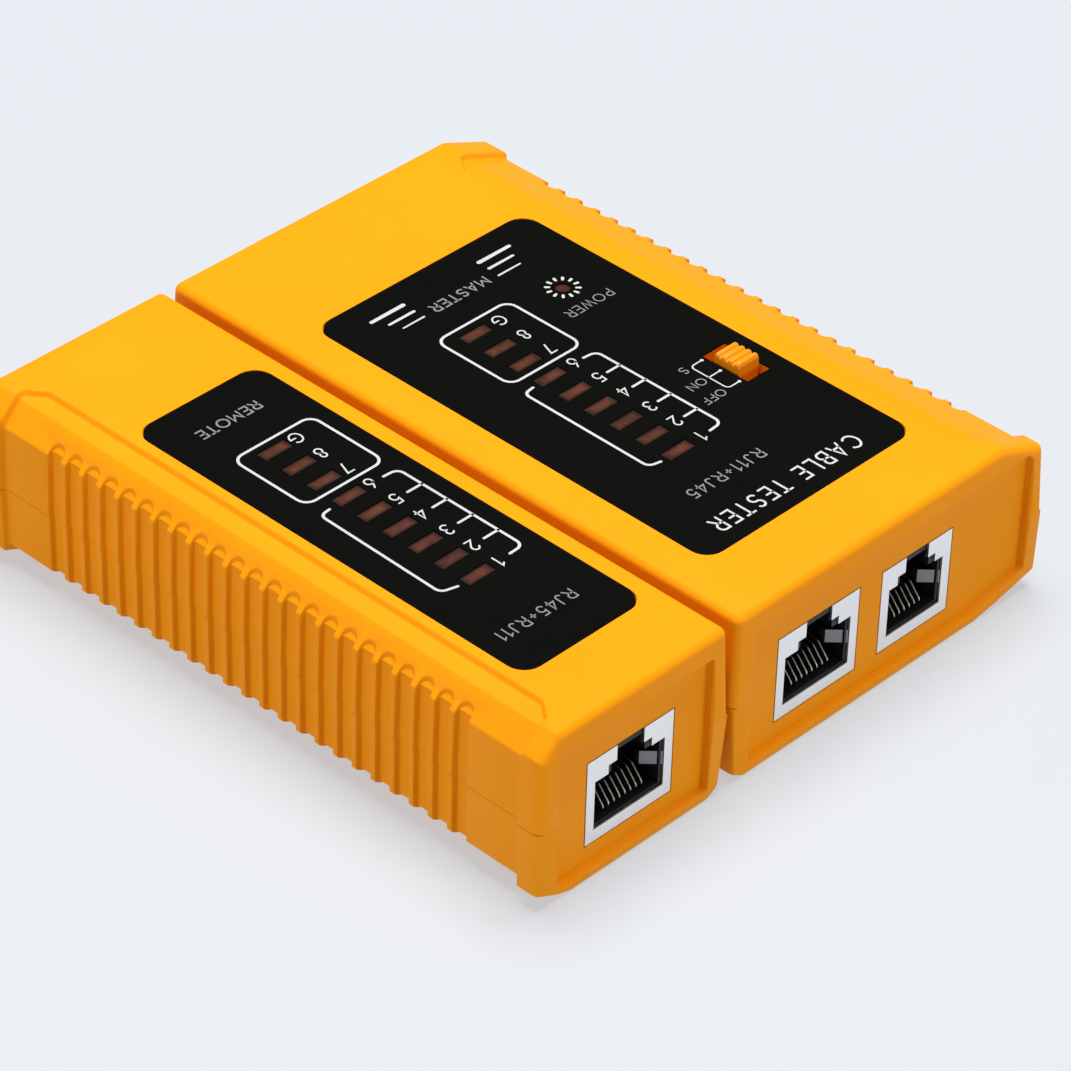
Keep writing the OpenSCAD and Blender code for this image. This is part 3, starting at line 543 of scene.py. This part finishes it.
def under_groove(bm, unit, y):
    """Takes the groove's lower end out of the slope under the grip."""
    foot_u = unit["bottom"] * 0.55 + 1
    line = [(GRIP_LOW_U - 0.5, GRIP_LOW_Z + 0.6), (foot_u, 2.2), (foot_u, -1), (GRIP_LOW_U - 0.5, -1)]
    h = GROOVE_HALF - 0.1
    ring_faces(bm, [[(unit["side"] * (HALF_W - u), v, z) for u, z in line] for v in (y - h, y + h)])


def upper_land(z):
    return GRIP_SEAM_U + (GRIP_TOP_U - GRIP_SEAM_U) * (z - SEAM_Z) / (23 - SEAM_Z)


def lower_land(z):
    return GRIP_SEAM_U + 0.1 + (GRIP_LOW_U - GRIP_SEAM_U - 0.1) * (SEAM_Z - z) / (SEAM_Z - GRIP_LOW_Z)


def cavity_outline(unit, upper):
    """The hollow of a unit, cut off a little past the line where the halves meet."""
    inner = unit["cavity"]
    z = SEAM_Z - 1 if upper else SEAM_Z + 1
    if upper:
        return [(inner[0][0], z), *inner[1:-2], (inner[-2][0], z)]
    return [inner[0], (inner[0][0], z), (inner[-2][0], z), *inner[-2:]]


def join_to(shell, bm):
    """Adds closed pieces to a shell; the next cut makes one skin of them."""
    bmesh.ops.recalc_face_normals(bm, faces=bm.faces)
    bmesh.ops.scale(bm, vec=(MM, MM, MM), verts=bm.verts)
    bm.from_mesh(shell.data)
    bm.to_mesh(shell.data)
    bm.free()


def finished_shell(shell, key, node):
    finish_mesh(shell, 32.0)
    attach(shell, key)
    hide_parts(node)


def upper_shell(key):
    unit = UNITS[key]
    shell = make(f"{key}_case_top", case_half(unit, True), None, "case_plastic")
    tool = bmesh.new()
    rim_cutter(tool, unit)
    cut(shell, tool)
    tool = bmesh.new()
    prism(tool, unit, cavity_outline(unit, True), PANEL_Y + 2, Y_BACK - 2)
    jack_cutters(tool, unit)
    cut(shell, tool)
    tool = bmesh.new()
    for y in groove_rows():
        side_groove(tool, unit, y, (SEAM_Z - 1, 24.6), upper_land)
    cut(shell, tool)
    tool = bmesh.new()
    for y in groove_rows():
        slope_groove(tool, unit, y)
    cut(shell, tool)
    extra = bmesh.new()
    for x, y, _, root in unit["screws"]:
        cylinder(extra, x, y, 13.4, root, unit["boss_up"])
    for x, y in unit["board_screws"]:
        cylinder(extra, x, y, *BOARD_BOSS)
    join_to(shell, extra)
    tool = bmesh.new()
    for x, y, _, _ in unit["screws"]:
        cylinder(tool, x, y, *CASE_HOLE)
    for x, y in unit["board_screws"]:
        cylinder(tool, x, y, *BOARD_HOLE)
    x0, x1, y0, y1 = unit["label"]
    plan_prism(tool, x0 - LABEL_GAP, x1 + LABEL_GAP, y0 - LABEL_GAP, y1 + LABEL_GAP, LABEL_R, LABEL_Z, 30)
    cut(shell, tool)
    tool = bmesh.new()
    lx, ly = unit["led"]
    for i in range(LED_COUNT):
        y = ly + i * LED_PITCH
        box_mesh(tool, lx - LED_W / 2 - LED_GAP, lx + LED_W / 2 + LED_GAP,
                 y - LED_T / 2 - LED_GAP, y + LED_T / 2 + LED_GAP, *WINDOW_Z)
    if key == "master":
        cylinder(tool, *POWER_LAMP, *WINDOW_Z, 1.6)
        box_mesh(tool, *SWITCH_SLOT, *WINDOW_Z)
    cut(shell, tool)
    finished_shell(shell, key, f"{key}_top_shell")


def screw_sinks(unit):
    """Cutter for the case screws: a bevelled mouth, the well for the head and the clear hole."""
    tool = bmesh.new()
    steps = ((-1, 2.75), (0.05, 2.75), (0.4, 2.4), (6.3, 2.4), (6.3001, 1.5), (20, 1.5))
    for x, y, _, _ in unit["screws"]:
        ring_faces(tool, [circle(x, y, z, r, 28) for z, r in steps])
    return tool


def lower_shell(key):
    unit = UNITS[key]
    shell = make(f"{key}_case_base", case_half(unit, False), None, "case_plastic")
    tool = bmesh.new()
    rim_cutter(tool, unit)
    cut(shell, tool)
    tool = bmesh.new()
    prism(tool, unit, cavity_outline(unit, False), PANEL_Y + 2, Y_BACK - 2)
    jack_cutters(tool, unit)
    cut(shell, tool)
    tool = bmesh.new()
    for y in groove_rows():
        side_groove(tool, unit, y, (-1, SEAM_Z + 1), lower_land)
    cut(shell, tool)
    tool = bmesh.new()
    for y in groove_rows():
        under_groove(tool, unit, y)
    cut(shell, tool)
    extra = bmesh.new()
    for x, y, foot, _ in unit["screws"]:
        cylinder(extra, x, y, foot, 13.2, unit["boss_down"])
    for block in unit["blocks"]:
        box_mesh(extra, *block)
    join_to(shell, extra)
    cut(shell, screw_sinks(unit))
    for block in unit["slots"]:
        tool = bmesh.new()
        box_mesh(tool, *block)
        cut(shell, tool)
    finished_shell(shell, key, f"{key}_bottom_shell")


for unit_name in UNITS:
    upper_shell(unit_name)
    lower_shell(unit_name)


# ---------------------------------------------------------------- finish on the CAD pieces
for entry in frame["record"]["subparts"]:
    obj = NODES[entry["node"]]
    paint(obj, entry["material_slot"])
    finish_mesh(obj, 30.0)
# lamp rows get windows darkened at their edges as painted shade
for unit_name, unit in UNITS.items():
    NODES[f"{unit_name}_leds"].data.materials[0] = lamp_material(
        f"{unit_name}_lamps", LAMP_BRIGHT, LAMP_DIM, unit["led"])


# ---------------------------------------------------------------- switch knob
def hollow_out(piece, y_mid):
    """Takes the slider's stem out of a piece of the knob."""
    tool = bmesh.new()
    box_mesh(tool, 28.3, 30.6, y_mid - 1.35, y_mid + 1.35, 24, 26.9)
    cut(piece, tool)
    finish_mesh(piece, 40.0)


def switch_knob():
    """Sliding knob: four soft ridges across it, rounded ends, and the skirt that closes the slot, darkened as
    painted shade.
    """
    low, high = (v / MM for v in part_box("switch_knob"))
    x0, x1, y_mid = 27.4, 31.5, (low.y + high.y) / 2
    half, crest, dip = 2.35, high.z, high.z - 0.62
    outline = [(y_mid - half, 24.7, 0), (y_mid - half + 0.05, dip - 0.05, 0.4)]
    for i in range(4):
        y = y_mid - 1.8 + i * 1.2
        outline += [(y - 0.26, crest - 0.03 * i, 0.3), (y + 0.22, crest - 0.03 * i, 0.3), (y + 0.6, dip, 0.3)]
    outline[-1] = (y_mid + half - 0.05, dip - 0.05, 0.4)
    outline.append((y_mid + half, 24.7, 0))
    line = fillet(outline, 4)
    bm = bmesh.new()
    rings = []
    for x, drop in ((x0, 0.3), (x0 + 0.08, 0.12), (x0 + 0.28, 0.0),
                    (x1 - 0.28, 0.0), (x1 - 0.08, 0.12), (x1, 0.3)):
        rings.append([(x, p.x, p.y - drop * (p.y > dip - 1)) for p in line])
    ring_faces(bm, rings)
    hollow_out(make("switch_knob_body", bm, "switch", "knob_plastic", 40.0, ("switch_knob",)), y_mid)
    bm = bmesh.new()
    ring_faces(bm, [[(low.x + e, low.y + e, z), (high.x - e, low.y + e, z),
                     (high.x - e, high.y - e, z), (low.x + e, high.y - e, z)]
                    for e, z in ((0.15, 24.6), (0, 24.68), (0, 24.82), (0.1, 24.9))])
    # the skirt's darker orange is painted shade in the slot around the knob
    hollow_out(make("switch_skirt", bm, "switch", "skirt_painted_shade", 40.0, ("switch_knob",)), y_mid)


switch_knob()


# ---------------------------------------------------------------- socket springs and contact wires
def bent_wire(bm, x, path, r=0.14, n=8):
    """A round wire in the plane x, through points (y, z) with rounded bends."""
    line = fillet([(y, z, 0.5) for y, z in path], 3)
    rings = []
    for i, p in enumerate(line):
        ahead = line[min(i + 1, len(line) - 1)] - line[max(i - 1, 0)]
        across = Vector((-ahead.y, ahead.x)).normalized()
        turns = [2 * math.pi * k / n for k in range(n)]
        rings.append([(x + r * math.cos(a), p.x + across.x * r * math.sin(a),
                       p.y + across.y * r * math.sin(a)) for a in turns])
    ring_faces(bm, rings)


def socket_wires(name, body, x, width, count, node):
    """The wires that meet a plug: they start low in the mouth, fold back and rise into the socket."""
    bm = bmesh.new()
    y, z = PANEL_Y, JACK_Z
    path = [(y + 9.0, z + 3.05), (y + 1.1, z + 3.05), (y + 1.15, z + 3.5), (y + 2.9, z + 5.5),
            (y + 8.0, z + 6.6)]
    for i in range(count):
        bent_wire(bm, x + width / 2 + (i - (count - 1) / 2) * WIRE_PITCH, path)
    # the wires' dim metal is partly painted shade from inside the socket
    make(name, bm, body, "contact_gold", 50.0, (node,))


def spring_tab(name, body, edge_x):
    """The tongue of the shield that is bent into the mouth to touch a plug's shield."""
    bm = bmesh.new()
    y = PANEL_Y + 0.15
    plan = [(edge_x + 0.2, y), (edge_x + 0.2, y - 0.02), (edge_x, y + 0.1), (edge_x - 2.1, y + 2.25),
            (edge_x - 2.1, y + 3.1), (edge_x - 1.85, y + 3.1), (edge_x - 1.85, y + 2.35),
            (edge_x + 0.2, y + 0.3)]
    z0, z1 = JACK_Z + 5.1, JACK_Z + 7.2
    ring_faces(bm, [[(px, py, z) for px, py in plan] for z in (z0, z1)])
    # its steel is painted dark as the shade inside the mouth
    make(name, bm, body, "tongue_steel_painted_shade", 30.0)


SOCKETS = [("rj45_master", "master", -3.05, 15.9, 8, 12.9), ("rj11", "master", 17.5, 14.1, 6, 10.9),
           ("rj45_remote", "remote", -38.95, 15.9, 8, 12.9)]
for socket, unit_name, jack_x, jack_w, ways, window in SOCKETS:
    kind, _, place = socket.partition("_")
    contacts_node = f"{kind}_contacts_{place}" if place else f"{kind}_contacts"
    socket_wires(f"{socket}_wires", unit_name, jack_x, jack_w, ways, contacts_node)
    spring_tab(f"{socket}_spring", unit_name, jack_x + jack_w / 2 + window / 2)


# ---------------------------------------------------------------- printed legends
def arc(cx, cy, rx, ry, a0, a1, n=9):
    return [(cx + rx * math.cos(math.radians(a0 + (a1 - a0) * k / n)),
             cy + ry * math.sin(math.radians(a0 + (a1 - a0) * k / n))) for k in range(n + 1)]


GLYPHS = {
    "A": (0.74, [[(0, 0), (0.37, 1), (0.74, 0)], [(0.13, 0.32), (0.61, 0.32)]]),
    "B": (0.62, [[(0.3, 0.53), (0, 0.53), (0, 1), (0.32, 1), *arc(0.32, 0.765, 0.23, 0.235, 80, -90),
                  (0.3, 0.53), (0.34, 0.53), *arc(0.34, 0.265, 0.27, 0.265, 80, -90), (0, 0), (0, 0.53)]]),
    "C": (0.80, [arc(0.46, 0.5, 0.46, 0.5, 48, 312, 16)]),
    "E": (0.56, [[(0.54, 1), (0, 1), (0, 0), (0.54, 0)], [(0, 0.52), (0.46, 0.52)]]),
    "F": (0.54, [[(0.54, 1), (0, 1), (0, 0)], [(0, 0.5), (0.46, 0.5)]]),
    "G": (0.86, [[*arc(0.45, 0.5, 0.45, 0.5, 50, 360, 18), (0.5, 0.5)]]),
    "J": (0.44, [[(0.42, 1), (0.42, 0.25), *arc(0.2, 0.24, 0.22, 0.24, -10, -150, 7)]]),
    "L": (0.50, [[(0, 1), (0, 0), (0.5, 0)]]),
    "M": (0.86, [[(0, 0), (0.03, 1), (0.43, 0.32), (0.83, 1), (0.86, 0)]]),
    "N": (0.72, [[(0, 0), (0, 1), (0.72, 0), (0.72, 1)]]),
    "O": (0.94, [[*arc(0.47, 0.5, 0.47, 0.5, 90, 450, 22)]]),
    "P": (0.60, [[(0, 0), (0, 1), (0.32, 1), *arc(0.32, 0.73, 0.27, 0.27, 80, -90), (0, 0.46)]]),
    "R": (0.62, [[(0, 0), (0, 1), (0.32, 1), *arc(0.32, 0.73, 0.27, 0.27, 80, -90), (0, 0.46)],
                 [(0.3, 0.46), (0.62, 0)]]),
    "S": (0.58, [[*arc(0.29, 0.75, 0.26, 0.25, 35, 255, 12), *arc(0.29, 0.26, 0.29, 0.26, 75, -145, 12)]]),
    "T": (0.64, [[(0, 1), (0.64, 1)], [(0.32, 1), (0.32, 0)]]),
    "W": (1.06, [[(0, 1), (0.26, 0), (0.53, 0.95), (0.8, 0), (1.06, 1)]]),
    "1": (0.30, [[(0, 0.8), (0.24, 1), (0.24, 0)]]),
    "2": (0.58, [[*arc(0.29, 0.72, 0.27, 0.28, 165, -35, 10), (0.02, 0), (0.58, 0)]]),
    "3": (0.56, [[*arc(0.27, 0.75, 0.25, 0.25, 150, -80, 10), *arc(0.27, 0.25, 0.28, 0.25, 80, -150, 10)]]),
    "4": (0.62, [[(0.46, 0), (0.46, 1), (0, 0.26), (0.62, 0.26)]]),
    "5": (0.56, [[(0.5, 1), (0.1, 1), (0.05, 0.55), *arc(0.27, 0.32, 0.28, 0.32, 115, -150, 10)]]),
    "6": (0.60, [[(0.42, 1), (0.07, 0.45)], [*arc(0.3, 0.3, 0.29, 0.3, 90, 450, 16)]]),
    "7": (0.56, [[(0, 1), (0.56, 1), (0.18, 0)]]),
    "8": (0.60, [[*arc(0.3, 0.76, 0.22, 0.24, 90, 450, 14)], [*arc(0.3, 0.27, 0.28, 0.27, 90, 450, 16)]]),
    "+": (0.56, [[(0.08, 0.45), (0.48, 0.45)], [(0.28, 0.24), (0.28, 0.66)]]),
    " ": (0.30, []),
}


def ribbon(bm, points, width, z=PRINT_Z, thick=0.02, taper=None):
    """A printed line: a thin closed strip with round ends along the points, or a loop when they close."""
    pts = [Vector(p) for p in points]
    loop = (pts[0] - pts[-1]).length < 1e-4
    pts = [p for i, p in enumerate(pts) if i == 0 or (p - pts[i - 1]).length > 1e-4]
    if loop:
        pts = pts[:-1] if (pts[0] - pts[-1]).length < 1e-4 else pts
    n = len(pts)
    pairs = []
    for i, p in enumerate(pts):
        d0 = (p - pts[i - 1]).normalized() if (i or loop) else None
        d1 = (pts[(i + 1) % n] - p).normalized() if (i < n - 1 or loop) else None
        d0, d1 = d0 or d1, d1 or d0
        tangent = (d0 + d1).normalized()
        reach = 1 / max(tangent.dot(d0), 0.5)
        half = (width if taper is None else width + (taper - width) * i / (n - 1)) / 2
        side = Vector((-tangent.y, tangent.x)) * half * reach
        if not loop and i == 0:
            for k in (1, 3, 5):
                a = math.radians(15 * k)
                pairs.append((p - d0 * half * math.cos(a) + side * math.sin(a),
                              p - d0 * half * math.cos(a) - side * math.sin(a)))
        pairs.append((p + side, p - side))
        if not loop and i == n - 1:
            for k in (5, 3, 1):
                a = math.radians(15 * k)
                pairs.append((p + d1 * half * math.cos(a) + side * math.sin(a),
                              p + d1 * half * math.cos(a) - side * math.sin(a)))
    rings = [[(a.x, a.y, z), (b.x, b.y, z), (b.x, b.y, z + thick), (a.x, a.y, z + thick)] for a, b in pairs]
    if loop:
        rings.append(rings[0])
        verts = [[bm.verts.new(p) for p in ring] for ring in rings[:-1]]
        verts.append(verts[0])
        for a, b in zip(verts, verts[1:]):
            for i in range(4):
                bm.faces.new((a[i], a[(i + 1) % 4], b[(i + 1) % 4], b[i]))
    else:
        ring_faces(bm, rings)


def lettering(bm, text, x0, x1, y, height, width, gap=0.32):
    """Words that read along -X with their tops towards -Y, fitted between x0 and x1."""
    total = sum(GLYPHS[c][0] + gap for c in text) - gap
    scale = (x0 - x1) / total
    pen = 0.0
    for c in text:
        advance, strokes = GLYPHS[c]
        for stroke in strokes:
            ribbon(bm, [(x0 - (pen + a) * scale, y + height / 2 - b * height) for a, b in stroke], width)
        pen += advance + gap


def digit(bm, c, x, y, height=2.1, width=0.25):
    advance = GLYPHS[c][0] * height * 0.95
    lettering(bm, c, x + advance / 2, x - advance / 2, y, height, width)


def rounded(points, r=1.2):
    line = fillet([(x, y, r) for x, y in points], 6)
    return [(p.x, p.y) for p in line]


def closed_round(x0, x1, y0, y1, r):
    loop = round_outline(x0, x1, y0, y1, r)
    return loop + [loop[0]]


def scale_print(bm, led_x, led_y0, digit_x, box, right, left, ticks):
    """Lamp numbers, the box round the last three and the two brackets round the first six."""
    for i, c in enumerate("12345678G"):
        digit(bm, c, digit_x, led_y0 + i * LED_PITCH)
    ribbon(bm, closed_round(*box, 1.7), 0.42)
    ribbon(bm, rounded(right), 0.42)
    ribbon(bm, rounded(left), 0.42)
    for y in ticks:
        ribbon(bm, [(right[1][0], y), (right[0][0] - 0.15, y)], 0.4)


def small_print(name, body, words):
    """The fainter legends: (text, x0, x1, y, height, stroke) each."""
    bm = bmesh.new()
    for word in words:
        lettering(bm, *word)
    make(name, bm, body, "print_grey")


def master_print():
    bm = bmesh.new()
    scale_print(bm, 8.8, -22.5, 13.4, (3.54, 17.5, 3.3, 17.57),
                [(15.2, 0.9), (17.5, 0.7), (17.6, -22.3), (15.1, -22.5)],
                [(5.25, 0.8), (3.35, 0.6), (3.25, -22.3), (5.25, -22.7)], (-3.7, -8.4, -13.1, -17.9))
    lettering(bm, "CABLE TESTER", 27.85, -0.2, -37.4, 2.75, 0.33, 0.42)
    for x0, x1, y, w in ((21.5, 27.5, 27.0, 0.7), (21.45, 26.2, 24.97, 0.5), (21.2, 25.45, 22.85, 0.34),
                         (6.5, 0.4, 26.9, 0.7), (6.5, 1.8, 24.8, 0.5), (6.6, 2.6, 22.9, 0.32)):
        ribbon(bm, [(x0, y), (x1, y)], w, taper=w * 0.85)
    for k in range(12):
        a = math.radians(15 + 30 * k)
        ribbon(bm, [(25.47 + r * math.cos(a), 14.6 + r * math.sin(a)) for r in (1.85, 2.4)], 0.36, taper=0.46)
    ribbon(bm, rounded([(26.3, -10.7), (24.05, -10.7), (24.05, -17.6), (26.3, -17.6)], 0.7), 0.22)
    ribbon(bm, [(24.05, -14.1), (26.3, -14.1)], 0.22)
    for y in (-10.7, -14.1, -17.6):
        cylinder(bm, 26.35, y, PRINT_Z, PRINT_Z + 0.025, 0.27, 16)
    make("master_print", bm, "master", "print_white")
    small_print("master_small_print", "master", (
        ("RJ11+RJ45", 16.5, 2.5, -30.5, 1.9, 0.23), ("MASTER", 19.3, 8.7, 23.3, 1.75, 0.27),
        ("POWER", 29.6, 21.1, 9.4, 1.65, 0.17), ("S", 23.2, 22.3, -10.7, 1.4, 0.17),
        ("ON", 23.2, 20.2, -14.1, 1.4, 0.17), ("OFF", 23.2, 19.3, -17.65, 1.4, 0.17)))


def remote_print():
    bm = bmesh.new()
    scale_print(bm, -29.55, -22.95, -25.65, (-35.1, -20.8, 2.9, 16.9),
                [(-23.4, 0.45), (-20.9, 0.3), (-20.9, -22.7), (-23.45, -22.8)],
                [(-33.5, 0.2), (-35.3, 0.0), (-35.7, -22.3), (-33.2, -23.0)], (-4.2, -8.85, -13.55, -18.2))
    make("remote_print", bm, "remote", "print_white")
    small_print("remote_small_print", "remote", (
        ("REMOTE", -23.9, -34.6, 23.8, 1.75, 0.27), ("RJ45+RJ11", -23.5, -36.9, -34.1, 1.9, 0.23)))


def lamp_surround():
    """The printed edge of the power lamp's window, which leaves a smaller round of it clear."""
    bm = bmesh.new()
    n, inner, outer, low, high = 36, 1.08, 1.75, PRINT_Z - 0.1, PRINT_Z + 0.02
    rings = [circle(*POWER_LAMP, z, r, n)
             for r, z in ((inner, low), (outer, low), (outer, high), (inner, high))]
    verts = ring_faces(bm, rings, caps=False)
    for i in range(n):
        bm.faces.new((verts[-1][i], verts[-1][(i + 1) % n], verts[0][(i + 1) % n], verts[0][i]))
    make("power_lamp_surround", bm, "master", "label_film", 30.0)


master_print()
remote_print()
lamp_surround()


# ---------------------------------------------------------------- camera, floor and light
CAMERA_AT = (-0.39896, -0.37709, 0.41898)
CAMERA_TURN = (47.023, -36.985, 1.706)      # azimuth, elevation and roll in degrees
FILL_COLOUR = (1.0, 0.92, 0.83)

cam_data = bpy.data.cameras.new("camera")
cam_data.sensor_width = 36.0
cam_data.lens = 169.12
cam_data.clip_start, cam_data.clip_end = 0.05, 20.0
camera = bpy.data.objects.new("camera", cam_data)
SCENE.collection.objects.link(camera)
azimuth, elevation, roll = (math.radians(a) for a in CAMERA_TURN)
forward = Vector((math.sin(azimuth) * math.cos(elevation), math.cos(azimuth) * math.cos(elevation),
                  math.sin(elevation)))
right0 = Vector((math.cos(azimuth), -math.sin(azimuth), 0))
up0 = right0.cross(forward)
right = right0 * math.cos(roll) + up0 * math.sin(roll)
up = up0 * math.cos(roll) - right0 * math.sin(roll)
camera.matrix_world = Matrix((
    (right.x, up.x, -forward.x, CAMERA_AT[0]), (right.y, up.y, -forward.y, CAMERA_AT[1]),
    (right.z, up.z, -forward.z, CAMERA_AT[2]), (0, 0, 0, 1)))
SCENE.camera = camera

floor_bm = bmesh.new()
bmesh.ops.create_grid(floor_bm, x_segments=2, y_segments=2, size=3000)
floor = make("floor", floor_bm, None, "case_plastic")
floor_look = Nodes("floor", Roughness=0.4)
floor_look.set("Base_Color", (0.22, 0.23, 0.245))
floor_look.set("Emission_Color", (0.90, 0.95, 1.0))
floor_look.set("Emission_Strength", 0.50)
floor_look.set("Roughness", floor_look.ramp(floor_look.noise(8.0), 0.36, 0.42))
floor_look.set("Specular_IOR_Level", 0.25)
floor.data.materials[0] = floor_look.material


def area_light(name, place, target, size, power, colour=(1, 1, 1)):
    data = bpy.data.lights.new(name, "AREA")
    data.shape, data.size, data.energy, data.color = "DISK", size, power, colour
    light = bpy.data.objects.new(name, data)
    SCENE.collection.objects.link(light)
    light.location = place
    light.rotation_euler = (Vector(target) - Vector(place)).to_track_quat("-Z", "Y").to_euler()


area_light("overhead", (0.10, 0.08, 1.1), (0, 0, 0), 0.8, 18.0)
area_light("side_fill", (-1.02, 0.26, 0.30), (0, 0, 0.01), 0.4, 2.9, FILL_COLOUR)
area_light("front_fill", (0.15, -1.08, 0.30), (0, 0, 0.01), 0.4, 2.9, FILL_COLOUR)

world = bpy.data.worlds.new("studio")
SCENE.world = world
world.use_nodes = True
world.node_tree.nodes["Background"].inputs["Color"].default_value = (0.96, 0.98, 1.0, 1)
world.node_tree.nodes["Background"].inputs["Strength"].default_value = 0.26
SCENE.view_settings.view_transform = "Standard"
